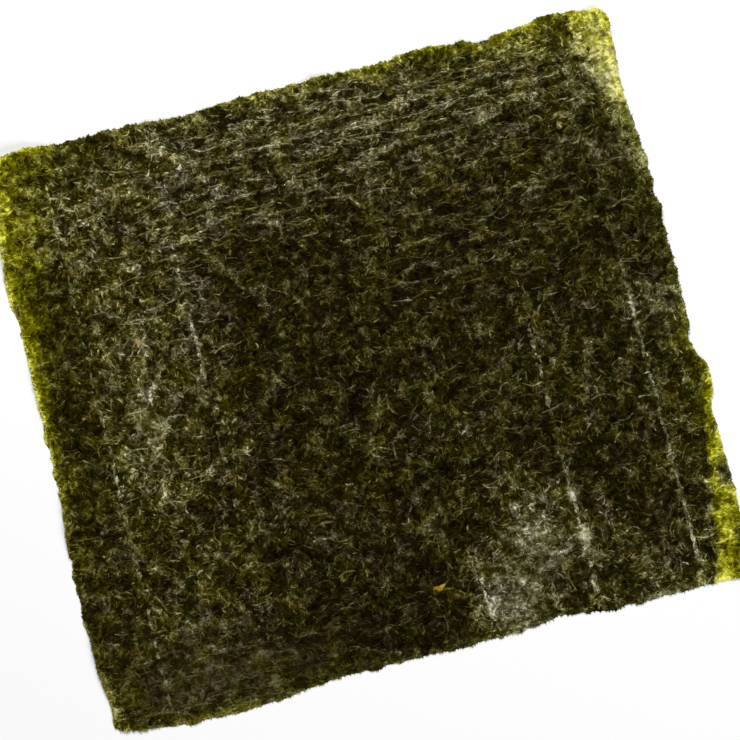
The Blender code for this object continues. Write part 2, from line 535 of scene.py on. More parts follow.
@dataclass(frozen=True)
class DryingMarks:
    """Where the sheet is pale, thin, reed-marked or thread-marked.

    Each pale patch multiplies the dark felt's lightness by e to the power of its strength. Some
    of them are painted sheen on swells and curls, and the pale rim is partly painted light
    shining through thin felt.
    The patches, edges and corners were set one by one, in many rounds, until the rendered sheet
    came close to the photograph. Those rounds compared the median lightness of both in cells
    of 10 mm, and some of the small pale patches stand where a cell differed.

    Attributes:
        felt_lightness: lightness of the dark felt.
        palest: lightness that the palest felt comes close to.
        mottling: how unlike the felt's clusters are in lightness, as a power of e.
        lip: width of the palest line along the rim, a painted glow of light through it, mm.
        reed_pitch: spacing of the mat's reeds, mm.
        pale: where the felt is paler, or darker where the strength is negative, partly its own
        tone and partly painted sheen on its swells and curls.
        greyish: where it tends to a greyish brown, or to olive where negative.
        whitish_sheen: where it bulges up and shines with an even whitish sheen, painted into its
        colour.
        flattened: where it is pressed flat and even.
        clotted: a dense brown spot in the thin felt of the right edge.
        reeded: where the reeds show, or don't where the strength is negative.
        edges: how the stretches of the rim pale and yellow.
        corners: thin corners of the sheet.
        thread_width: half width of a thread's dashes, mm.
        thread_dash: spacing of the dashes, mm.
        thread_stations: places across the sheet of the strengths in each row, mm.
        threads: the rows of dashes.
    """

    felt_lightness: float = 27.8
    palest: float = 190.0
    mottling: float = 0.6
    lip: float = 0.6
    reed_pitch: float = 4.5
    pale: tuple[Patch, ...] = (
        # The head of the sheet is pale all along, partly a painted sheen where it curls, with lighter
        # and darker spots.
        Patch(0, 82, 240, 30, 0.82),
        Patch(-80, 80, 5, 5, 0.25),
        Patch(-70, 90, 16, 12, -0.6),
        Patch(-50, 86, 8, 12, 0.45),
        Patch(-30, 79, 5, 5, 0.3),
        Patch(-20, 79, 5, 6, -0.35),
        Patch(-8, 88, 12, 9, 0.3),
        Patch(0, 80, 9, 6, -0.2),
        Patch(52, 92, 16, 8, -0.3),
        Patch(78, 91, 9, 5, 0.3),
        Patch(80, 79, 6, 5, 0.35),
        Patch(88, 82, 6, 8, -0.35),
        # Spots below the head.
        Patch(-70, 60, 5, 5, 0.35),
        Patch(-60, 65, 9, 10, -0.45),
        Patch(-60, 58, 34, 14, 0.15),
        Patch(-40, 61, 5, 5, 0.25),
        Patch(-20, 60, 5, 5, -0.4),
        Patch(11, 65, 12, 9, 0.1),
        Patch(30, 70, 5, 4, 0.35),
        # The left side, with its two long swells, painted paler with their sheen.
        Patch(-102, 35, 7, 42, 0.17),
        Patch(-78, 55, 9, 16, 0.07),
        Patch(-68, 28, 19, 42, 0.87),
        Patch(-50, 33, 5, 16, 0.3),
        Patch(-71, 3, 8, 18, 0.5),
        Patch(-46, 8, 11, 20, 0.25),
        Patch(-79, -18, 7, 10, 0.35),
        Patch(-60, -20, 27, 8, 0.4),
        Patch(-72, -62, 26, 44, 0.63),
        Patch(-75, -68, 15, 16, -0.12),
        Patch(-50, -86, 6, 8, 0.2),
        Patch(-103, -90, 4, 12, 0.6),
        # The middle.
        Patch(30, 0, 50, 60, 0.1),
        Patch(58, 0, 18, 15, 0.25),
        Patch(0, -32, 85, 40, 0.16),
        # The blister at the lower right, painted pale with its sheen, and the clearest dashes of the
        # threads beside it.
        Patch(40, -64, 10, 15, 1.4),
        Patch(21.5, -82, 6, 18, 1.15),
        Patch(31, -88, 8, 12, 0.95),
        Patch(60, -50, 7, 7, -0.4),
        Patch(57, -66, 8, 16, 0.5),
        Patch(54.3, -55, 2.2, 3.0, 1.5),
        Patch(54.6, -69, 2.4, 3.2, 1.3),
        Patch(87.5, 0, 1.3, 5, 0.9),
        # The foot of the sheet on the right, with a painted sheen along its edge.
        Patch(60, -87, 34, 13, 0.5),
        Patch(70, -90, 6, 5, 0.25),
        Patch(75, -93.5, 10, 2.2, 0.7),
        Patch(88, -85, 12, 12, 0.3),
        Patch(93, -92, 5, 4, 0.7),
        Patch(103, -90, 5, 7, -0.9),
        # The right side, and the curled corner above it, painted pale where it curls up to the light.
        Patch(86, -40, 26, 70, 0.25),
        Patch(99, -60, 8, 18, 0.4),
        Patch(102, -8, 6, 14, 0.25),
        Patch(98, -2, 10, 7, 0.85),
        Patch(103, 41, 5, 5, 0.5),
        Patch(101, 50, 6, 15, 0.6),
        Patch(100, 68, 7, 8, 0.4),
        Patch(98.5, 82, 8, 21, 1.02),
        Patch(97, 90, 5, 5, 0.25),
    )
    greyish: tuple[Patch, ...] = (
        Patch(-50, -88, 70, 24, 0.7),
        Patch(-92, -50, 26, 30, 0.3),
        Patch(-80, -72, 17, 16, 0.3),
        Patch(-78, 55, 10, 18, 0.2),
        Patch(-72, -3, 10, 24, 0.35),
        Patch(-50, 33, 6, 16, 0.4),
        Patch(86, 76, 12, 12, -0.35),
        Patch(97, 50, 12, 20, 0.5),
        Patch(102.5, -60.5, 3, 4, 0.8),
    )
    whitish_sheen: tuple[Patch, ...] = (
        Patch(-71, 3, 7, 16, 0.25),
        Patch(29, -84, 9, 14, 0.5),
        Patch(40, -66, 8, 13, 0.45),
        Patch(54.3, -55, 2.4, 3.4, 0.85),
        Patch(54.6, -69, 2.6, 3.6, 0.85),
        Patch(75, -93.5, 10, 2.4, 0.7),
        Patch(93, -92, 5, 4, 0.4),
        Patch(96, -3, 9, 8, 0.35),
        Patch(98, 50, 6, 16, 0.35),
        Patch(100, 74, 6, 8, 0.25),
    )
    flattened: tuple[Patch, ...] = (
        Patch(-52, -84, 32, 10, 0.5),
        Patch(-84, -78, 20, 16, 0.25),
    )
    clotted: Patch = Patch(102.5, -60.5, 2.2, 3.4, 1.6)
    reeded: tuple[Patch, ...] = (
        Patch(30, 74, 70, 17, 1.0),
        Patch(42, 34, 34, 16, 0.8),
        Patch(-40, 60, 30, 20, 0.5),
        Patch(-60, -86, 38, 12, 0.8),
        Patch(106, 78, 14, 30, -1.2),
    )
    edges: tuple[ThinEdge, ...] = (
        # The head, from left to right.
        ThinEdge(Patch(-48, 100, 26, 25, 1), 0.4, 2.0, 0.35, 3.5),
        ThinEdge(Patch(38, 100, 60, 25, 1), 0.6, 2.2, 0.65, 4.0),
        # The left side, from head to foot.
        ThinEdge(Patch(-108, 48, 20, 48, 1), 1.1, 4.0, 0.8, 9.0),
        ThinEdge(Patch(-106, 8, 20, 17, 1.5), 1.7, 2.0, 1.0, 3.6),
        ThinEdge(Patch(-108, -52, 20, 40, 1), 0.65, 4.5, 0.4, 4.0),
        # The right side, from foot to head.
        ThinEdge(Patch(108, -62, 20, 36, 1), 0.3, 6.0, 0.9, 6.0),
        ThinEdge(Patch(108, -27, 20, 10, 1), 1.2, 3.5, 1.1, 5.0),
        ThinEdge(Patch(106, 20, 20, 36, 1), 0.5, 4.0, 0.3, 3.5),
        ThinEdge(Patch(106, 85, 20, 30, 1), 0.2, 4.0, 0.65, 9.0),
        # The foot, from left to right.
        ThinEdge(Patch(-50, -100, 60, 20, 1), 0.65, 2.5, 0.45, 3.5),
        ThinEdge(Patch(50, -100, 55, 20, 1), 0.1, 3.0, 0.1, 3.0),
    )
    corners: tuple[ThinCorner, ...] = (
        ThinCorner(across=-1.0, up=0.264, start=100.08, ease=(0.0, 9.0), gain=0.15, yellow=0.4,
                   from_y=(-30, 20)),
        ThinCorner(across=1.0, up=-0.187, start=109.4, ease=(-1.9, 1.9), gain=0.95, yellow=1.0,
                   waver=1.6, from_y=(-20, -31)),
        ThinCorner(across=0.228, up=1.0, start=91.896, ease=(-2.0, 20.0), gain=0.2, yellow=0.35,
                   from_x=(-10, 40)),
    )
    thread_width: float = 1.1
    thread_dash: float = 4.4
    thread_stations: tuple[float, float, float, float] = (-60.0, -20.0, 20.0, 60.0)
    threads: tuple[ThreadRow, ...] = (
        ThreadRow(-85.0, (0.65, 0.9, 0.5, 0.45)),
        ThreadRow(-50.0, (0.25, 0.25, 0.65, 0.35)),
        ThreadRow(-15.0, (0.25, 0.1, 0.1, 0.2)),
        ThreadRow(19.5, (0.35, 0.3, 0.15, 0.3)),
        ThreadRow(54.0, (0.8, 0.8, 0.22, 0.12)),
        ThreadRow(87.5, (0.75, 0.85, 0.5, 0.15)),
    )

    @staticmethod
    def _total(patches: tuple[Patch, ...], x: np.ndarray, y: np.ndarray) -> np.ndarray:
        """Sum of some patches at each place."""
        return sum(patch.at(x, y) for patch in patches)

    def grey(self, x: np.ndarray, y: np.ndarray) -> np.ndarray:
        """How much the felt tends from olive to a greyish brown, -0.5 to 1."""
        return np.clip(self._total(self.greyish, x, y), -0.5, 1)

    def sheen(self, x: np.ndarray, y: np.ndarray) -> np.ndarray:
        """How evenly the felt shines where it bulges up, 0 to 1, a sheen painted into its colour."""
        return np.clip(self._total(self.whitish_sheen, x, y), 0, 1)

    def sheen_and_dashes(self, x: np.ndarray, y: np.ndarray, grain: Grain) -> np.ndarray:
        """How whitish the felt is, 0 to 1, from the painted sheen and from the thread dashes."""
        return np.clip(self.sheen(x, y) + self.pressed(x, y, grain), 0, 1)

    def evenness(self, x: np.ndarray, y: np.ndarray, thin: np.ndarray,
                 gain: np.ndarray) -> np.ndarray:
        """How even and smooth the felt is, which thin, shining, flat or very pale felt is.

        Args:
            x: places along the sheet, mm.
            y: places across the sheet, mm.
            thin: how yellow-green and thin the felt is there, 0 to 1.
            gain: power of e by which thin felt is lighter there.

        Returns:
            Shares from 0 to 0.7.
        """
        evenest = 0.7
        seen_through = 0.5 * np.maximum(thin, np.clip(gain, 0, 1))
        very_pale = smooth_step(1.2, 2.0, self._total(self.pale, x, y))
        pressed_flat = self._total(self.flattened, x, y) + 0.8 * self.sheen(x, y)
        return np.clip(seen_through + pressed_flat + 0.5 * very_pale, 0, evenest)

    def pressed(self, x: np.ndarray, y: np.ndarray, grain: Grain) -> np.ndarray:
        """How clearly a dash of a binding thread shows at each place.

        Args:
            x: places along the sheet, mm.
            y: places across the sheet, mm.
            grain: the noise that makes the dashes uneven.

        Returns:
            Strengths from 0 to about 1.
        """
        # The dashes keep a regular beat, and the noise makes them longer, shorter or broken.
        total = np.zeros_like(x)
        for row in self.threads:
            beat = 0.22 * np.cos(2 * math.pi * y / self.thread_dash + row.x)
            unevenness = grain.at(np.full_like(x, row.x), y, 2 * self.thread_dash)
            dash = beat + 0.45 * unevenness + 0.07
            clear = np.interp(y, self.thread_stations, row.strengths)
            width = self.thread_width * np.exp(0.8 * grain.at(y, np.full_like(x, 7 * row.x), 5.6))
            aside = (x - row.x - 0.6 * grain.at(x, y, 5.0)) / width
            total += clear * np.exp(-aside ** 2) * smooth_step(-0.35 * clear, 0.2, dash)
        return total * (0.85 + 0.7 * grain.at(y, x, 1.7))

    def reed(self, x: np.ndarray, y: np.ndarray) -> np.ndarray:
        """How clearly the reeds show, 0 to 1."""
        return np.clip(self._total(self.reeded, x, y), 0, 1)

    def reed_wave(self, x: np.ndarray, y: np.ndarray, grain: Grain) -> np.ndarray:
        """Work out the ripple that the reeds press into the felt.

        Args:
            x: places along the sheet, mm.
            y: places across the sheet, mm.
            grain: the noise by which the reeds wander.

        Returns:
            1 on a ridge, falling to about -1 between two.
        """
        wander = 1.1 * grain.at(x, y, 31.0)
        phase = 2 * math.pi * (y + wander) / self.reed_pitch
        return 0.75 * np.cos(phase) + 0.25 * np.cos(2 * phase + 0.8)

    def thin(self, x: np.ndarray, y: np.ndarray, inset: np.ndarray,
             grain: Grain) -> tuple[np.ndarray, np.ndarray]:
        """How the felt changes where it is thin and light passes through it, that light painted into
        its colour.

        Args:
            x: places along the sheet, mm.
            y: places across the sheet, mm.
            inset: distance of each place to the border, mm.
            grain: the noise that makes it uneven.

        Returns:
            How yellow-green it is, 0 to 1, and the power of e by which it is lighter.
        """
        uneven = np.exp(0.5 * grain.at(x, y, 7.0) + 0.5 * grain.at(y, x, 2.6))
        # Some clots of felt stay dense, so they are darker and browner.
        clot = smooth_step(0.2, 0.5, grain.at(-y, x, 4.5))
        never_zero = 1e-12
        weight = np.array([edge.stretch.at(x, y) + never_zero for edge in self.edges])
        weight = weight / weight.sum(axis=0)
        deep = inset / uneven
        gain = sum(w * edge.gain * (np.exp(-deep / edge.reach) + 0.4 * np.exp(-inset / self.lip))
                   for w, edge in zip(weight, self.edges))
        yellow = sum(w * edge.yellow * np.exp(-(deep / edge.yellow_reach) ** 2)
                     for w, edge in zip(weight, self.edges))
        for corner in self.corners:
            share = corner.share(x, y, grain)
            gain = gain + corner.gain * share
            yellow = yellow + corner.yellow * share
        dense = np.clip(self.clotted.at(x, y), 0, 1)
        yellow = np.clip(yellow, 0, 1) * (1 - 0.4 * clot) * (1 - 0.8 * dense)
        return yellow, gain * (1 - 0.3 * clot) * (1 - 0.7 * dense)

    def lightness(self, x: np.ndarray, y: np.ndarray, thin: np.ndarray, gain: np.ndarray,
                  paler: np.ndarray, grain: Grain) -> np.ndarray:
        """Lightness of the felt as a share of the lightest tone's.

        Args:
            x: places along the sheet, mm.
            y: places across the sheet, mm.
            thin: how yellow-green and thin the felt is, which evens it out.
            gain: power of e by which thin felt is lighter there.
            paler: how much paler or darker than its surroundings each place is, in
                standard deviations of the felt's mottling.
            grain: the noise that breaks the thread rows into dashes.

        Returns:
            Shares from 0 to 1.
        """
        pale = self._total(self.pale, x, y) + 0.85 * self.pressed(x, y, grain)
        # The palest specks are held back, and more so where the felt is pale already.
        limit = 1.85 - 0.65 * np.clip(pale + gain, 0, 1)
        paler = np.where(paler > 0, limit * np.tanh(paler / limit), 1.2 * paler)
        even = self.evenness(x, y, thin, gain)
        calmer = 0.03 * self.reed(x, y) + 0.03 * smooth_step(-30, -80, x)
        mottling = (self.mottling - calmer) * (1 - even)
        light = self.felt_lightness * np.exp(pale + gain + mottling * paler)
        light = light / (1 + (light / self.palest) ** 3) ** (1 / 3)
        return np.clip(light / LIGHTEST, 0, 1)


# ---------------------------------------------------------------- meshes


def mesh_piece(name: str, points: np.ndarray, triangles: np.ndarray, layers: dict[str, np.ndarray],
               bake_map: np.ndarray, smooth: bool) -> bpy.types.Object:
    """Make one piece of the object from arrays.

    Args:
        name: the piece's name.
        points: vertex places in mm, one row each.
        triangles: vertex indices, one row of three each.
        layers: values per vertex that the finish reads, by name.
        bake_map: plan of the texture for the finish, one row per face corner.
        smooth: whether the faces are shaded round, or flat like creased membranes.

    Returns:
        The linked object.
    """
    mesh = bpy.data.meshes.new(name)
    mesh.vertices.add(len(points))
    mesh.vertices.foreach_set("co", (points * MM).astype(np.float32).ravel())
    mesh.loops.add(triangles.size)
    mesh.loops.foreach_set("vertex_index", triangles.astype(np.int32).ravel())
    mesh.polygons.add(len(triangles))
    mesh.polygons.foreach_set("loop_start", np.arange(len(triangles), dtype=np.int32) * 3)
    mesh.polygons.foreach_set("use_smooth", np.full(len(triangles), smooth))
    mesh.update(calc_edges=True)
    for layer, values in layers.items():
        store = mesh.attributes.new(layer, "FLOAT", "POINT")
        store.data.foreach_set("value", values.astype(np.float32))
    plan = mesh.uv_layers.new(name=BAKE_MAP)
    plan.uv.foreach_set("vector", bake_map.astype(np.float32).ravel())
    mesh.validate()
    piece = bpy.data.objects.new(name, mesh)
    bpy.context.scene.collection.objects.link(piece)
    return piece


class SheetPart:
    """A part of the sheet, which makes one piece and dresses it."""

    @staticmethod
    def dress(piece: bpy.types.Object, material: bpy.types.Material) -> None:
        """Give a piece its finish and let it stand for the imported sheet.

        Args:
            piece: the piece.
            material: its finish.
        """
        piece.data.materials.append(material)
        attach(piece, BODY)
        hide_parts(SHEET_NODE)
        log.info("%s: %d faces", piece.name, len(piece.data.polygons))


@dataclass
class FeltSheet(SheetPart):
    """The leaf itself: a fine wrinkled upper face, a plainer underside and a frayed rim.

    Attributes:
        form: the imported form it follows.
        marks: where it is pale, thin, reeded or threaded.
        top_pitch: spacing of the upper face's points, mm.
        under_pitch: spacing of the underside's points, mm.
        wrinkle: height of the felt's wrinkles, mm.
        reed_height: height of the reed ridges, mm.
        rim_thickness: thickness left at the frayed rim, as a share of the felt's.
        rim_width: distance from the rim over which the felt gets its whole thickness, mm.
        least_thickness: thinnest that the felt is inside its rim, mm.
        grain: the noise of its wrinkles, lumps and colours.
    """

    form: SheetForm
    marks: DryingMarks
    top_pitch: float = 0.82
    under_pitch: float = 1.9
    wrinkle: float = 0.18
    reed_height: float = 0.14
    rim_thickness: float = 0.45
    rim_width: float = 2.2
    least_thickness: float = 0.12
    grain: Grain = field(default_factory=lambda: Grain(FELT_SEED))

    def relief(self, x: np.ndarray, y: np.ndarray) -> np.ndarray:
        """Work out the felt's wrinkles, lumps and reed ridges.

        Args:
            x: places along the sheet, mm.
            y: places across the sheet, mm.

        Returns:
            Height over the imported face, mm.
        """
        curl, curl_size = 1.3, 5.0
        fold_size, small_fold_size, lump_size = 2.4, 1.5, 8.0
        bend_x = x + curl * self.grain.at(x, y, curl_size)
        bend_y = y + curl * self.grain.at(y, x, curl_size)
        folds = self.grain.ridges(bend_x, bend_y, fold_size)
        folds = folds + 0.6 * self.grain.ridges(bend_y, bend_x, small_fold_size)
        lumps = self.grain.at(x, y, lump_size)
        reeds = self.marks.reed_wave(x, y, self.grain) * self.marks.reed(x, y)
        return self.wrinkle * (folds - 1.25 + 0.5 * lumps) + self.reed_height * reeds

    def upper(self, x: np.ndarray, y: np.ndarray) -> np.ndarray:
        """Height of the finished upper face, mm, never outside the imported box."""
        highest = self.form.high[2] - 0.02
        return np.minimum(self.form.top(x, y) + self.relief(x, y), highest)

    def clusters(self, x: np.ndarray, y: np.ndarray) -> np.ndarray:
        """Work out the pale and dark clusters of the felt, and its streaks along the reeds.

        Args:
            x: places along the sheet, mm.
            y: places across the sheet, mm.

        Returns:
            How pale each place is, in standard deviations of the felt's mottling.
        """
        mottling = 1.6 * self.grain.at(-x, y, 2.0) + 1.6 * self.grain.at(x, y, 3.9)
        mottling = mottling + 1.1 * self.grain.at(y, x, 7.5)
        drawn_out = 3.5
        streaks = 1.3 * self.grain.at(x / drawn_out, y, 3.2)
        # The reed ripple paints its ridges lighter and its hollows darker, as painted light and shade.
        streaks = streaks + 0.6 * self.marks.reed_wave(x, y, self.grain)
        return mottling + 0.5 * self.grain.at(y, x, 16.0) + self.marks.reed(x, y) * streaks

    def olive(self, x: np.ndarray, y: np.ndarray) -> np.ndarray:
        """Work out how yellow-olive the felt is.

        Args:
            x: places along the sheet, mm.
            y: places across the sheet, mm.

        Returns:
            Shares from 0, where it is greyish, to 1.
        """
        mottled = 0.45 + 0.8 * self.grain.at(x, y, 5.4) + 0.8 * self.grain.at(y, x, 11.0)
        leftward = 0.58 * smooth_step(-30, -80, x)
        return np.clip(mottled + leftward - 0.9 * self.marks.grey(x, y), 0, 1)

    def green(self, x: np.ndarray, y: np.ndarray) -> np.ndarray:
        """How green the felt is, 0 where it is brown to 1."""
        mottled = 0.24 + 1.2 * self.grain.at(y, x, 8.3) + 0.8 * self.grain.at(x, -y, 4.1)
        return np.clip(mottled + 0.0022 * x, 0, 1)

    def plan_points(self, pitch: float, seed: int) -> np.ndarray:
        """Spread slightly uneven points over the inside of the border.

        Args:
            pitch: spacing of the points, mm.
            seed: fixes the random draw.

        Returns:
            Plan of the points, one row each, mm.
        """
        jitter = 0.18
        rng = np.random.default_rng(seed)
        # Rows at this pitch, every other one moved by half a step, make equal triangles.
        row_pitch = pitch * math.sqrt(3) / 2
        columns = np.arange(self.form.low[0], self.form.high[0], pitch)
        rows = np.arange(self.form.low[1], self.form.high[1], row_pitch)
        x, y = np.meshgrid(columns, rows)
        x = x + (np.arange(len(rows)) % 2 * pitch / 2)[:, None]
        x = (x + rng.uniform(-jitter, jitter, x.shape) * pitch).ravel()
        y = (y + rng.uniform(-jitter, jitter, y.shape) * pitch).ravel()
        keep = self.form.encloses(x, y)
        x, y = x[keep], y[keep]
        clear_of_border = 0.55 * self.form.border_pitch + 0.2
        keep = self.form.inset(x, y) > clear_of_border
        return np.stack([x[keep], y[keep]], 1)

    def face(self, pitch: float, seed: int) -> tuple[np.ndarray, np.ndarray]:
        """Triangulate one face, its border points first and then the points inside.

        Args:
            pitch: spacing of the points inside, mm.
            seed: fixes the random draw.

        Returns:
            Plan of the points, one row each, mm, and point numbers, three for each triangle.
        """
        inner = self.plan_points(pitch, seed)
        plan = [Vector(point) for point in np.vstack([self.form.border, inner])]
        loop = list(range(len(self.form.border)))
        points, _, triangles, *_ = delaunay_2d_cdt(plan, [], [loop], 1, 1e-7)
        return np.array([tuple(point) for point in points]), np.array(triangles)

    def build(self) -> bpy.types.Object:
        """Build the sheet as one closed piece.

        Returns:
            The piece.
        """
        rim = len(self.form.border)
        top_plan, top_triangles = self.face(self.top_pitch, UPPER_FACE_SEED)
        low_plan, low_triangles = self.face(self.under_pitch, UNDER_FACE_SEED)
        top_inset = self.form.inset(*top_plan.T)
        low_inset = self.form.inset(*low_plan.T)
        top_inset[:rim] = low_inset[:rim] = 0
        points = np.vstack([self._upper_points(top_plan, top_inset),
                            self._under_points(low_plan, low_inset)])
        start = len(top_plan)
        wall = self._wall(rim, start)
        triangles = np.vstack([top_triangles, start + low_triangles[:, ::-1], wall])
        layers = self._layers(*points.T[:2], np.concatenate([top_inset, low_inset]))
        return mesh_piece("felt_sheet", points, triangles, layers,
                          self._bake_map(points, triangles, start), smooth=True)

    def _upper_points(self, plan: np.ndarray, inset: np.ndarray) -> np.ndarray:
        """Raise the upper face's points, thinner towards the rim.

        Args:
            plan: the face's points, one row each, mm.
            inset: distance of each to the border, mm.

        Returns:
            The points with their heights, one row each, mm.
        """
        foot = self.form.under(*plan.T)
        thickness = np.maximum(self.upper(*plan.T) - foot, self.least_thickness)
        fullness = smooth_step(0, self.rim_width, inset)
        thickness = thickness * (self.rim_thickness + (1 - self.rim_thickness) * fullness)
        return np.column_stack([plan, foot + thickness])

    def _under_points(self, plan: np.ndarray, inset: np.ndarray) -> np.ndarray:
        """Raise the underside's points, with low lumps away from the rim.

        Args:
            plan: the face's points, one row each, mm.
            inset: distance of each to the border, mm.

        Returns:
            The points with their heights, one row each, mm.
        """
        lump_height, lump_size, lump_free_rim = 0.05, 4.0, 2.0
        lumps = lump_height * np.abs(self.grain.at(*plan.T, lump_size))
        height = self.form.under(*plan.T) + lumps * smooth_step(0, lump_free_rim, inset)
        return np.column_stack([plan, height])

    @staticmethod
    def _wall(rim: int, start: int) -> np.ndarray:
        """Join both faces by the narrow wall of the rim.

        Args:
            rim: how many points the border has.
            start: number of the underside's first point.

        Returns:
            Point numbers, three for each triangle.
        """
        here = np.arange(rim)
        following = (here + 1) % rim
        return np.vstack([
            np.column_stack([start + here, start + following, following]),
            np.column_stack([start + here, following, here]),
        ])

    def _layers(self, x: np.ndarray, y: np.ndarray, inset: np.ndarray) -> dict[str, np.ndarray]:
        """Work out what the finish reads at each point.

        Args:
            x: places along the sheet, mm.
            y: places across the sheet, mm.
            inset: distance of each place to the border, mm.

        Returns:
            Values from 0 to 1, by the name of their layer.
        """
        thin, gain = self.marks.thin(x, y, inset, self.grain)
        # The leaf is what shows between the blades, so it is painted darker than they are, as shade in
        # the gaps between them.
        paler = -1.6 + 1.2 * self.grain.at(x, y, 2.2) + self.clusters(x, y)
        return {
            "thin": thin,
            "olive": self.olive(x, y),
            "green": self.green(x, y),
            "sheen_and_dashes": self.marks.sheen_and_dashes(x, y, self.grain),
            "even": self.marks.evenness(x, y, thin, gain),
            "light": self.marks.lightness(x, y, thin, gain, paler, self.grain),
        }

    def _bake_map(self, points: np.ndarray, triangles: np.ndarray, start: int) -> np.ndarray:
        """Lay the upper face over most of the map and the underside and rim over the rest.

        Args:
            points: the piece's points, one row each, mm.
            triangles: point numbers, three for each triangle.
            start: number of the underside's first point.

        Returns:
            Place on the map of each face corner, 0 to 1.
        """
        corners = points[triangles][:, :, :2]
        share = (corners - self.form.low[:2]) / (self.form.high[:2] - self.form.low[:2])
        lower = (triangles >= start).any(axis=1)[:, None]
        u = 0.01 + 0.98 * share[:, :, 0]
        v = np.where(lower, 0.72 + 0.27 * share[:, :, 1], 0.01 + 0.69 * share[:, :, 1])
        return np.stack([u, v], -1).reshape(-1, 2)


class Lie(Enum):
    """How the blades of one kind lie."""

    TANGLED = "tangled"
    ALONG_REEDS = "along_reeds"
    ALONG_THREADS = "along_threads"
    OUT_OF_RIM = "out_of_rim"
    UNDERNEATH = "underneath"


@dataclass(frozen=True)
class BladeKind:
    """One kind of small dried blade, sizes in mm.

    Attributes:
        name: the piece that holds all blades of the kind.
        lie: how they lie.
        count: how many there are.
        stations: places along a blade, its two tips counted.
        length: shortest and longest.
        width: narrowest and widest.
        rise: lowest and highest crest over the felt.
        bend: largest turn from tip to tip, in radians.
        paler: how much paler than the felt they are, in standard deviations of its mottling,
        partly their own tone and partly painted highlight.
        spread: how unlike each other they are, in the same measure.
        foot: lightness left at a blade's foot, as a share of its crest's, a painted shade.
    """

    name: str
    lie: Lie
    count: int
    stations: int
    length: tuple[float, float]
    width: tuple[float, float]
    rise: tuple[float, float]
    bend: float
    paler: float
    spread: float
    foot: float


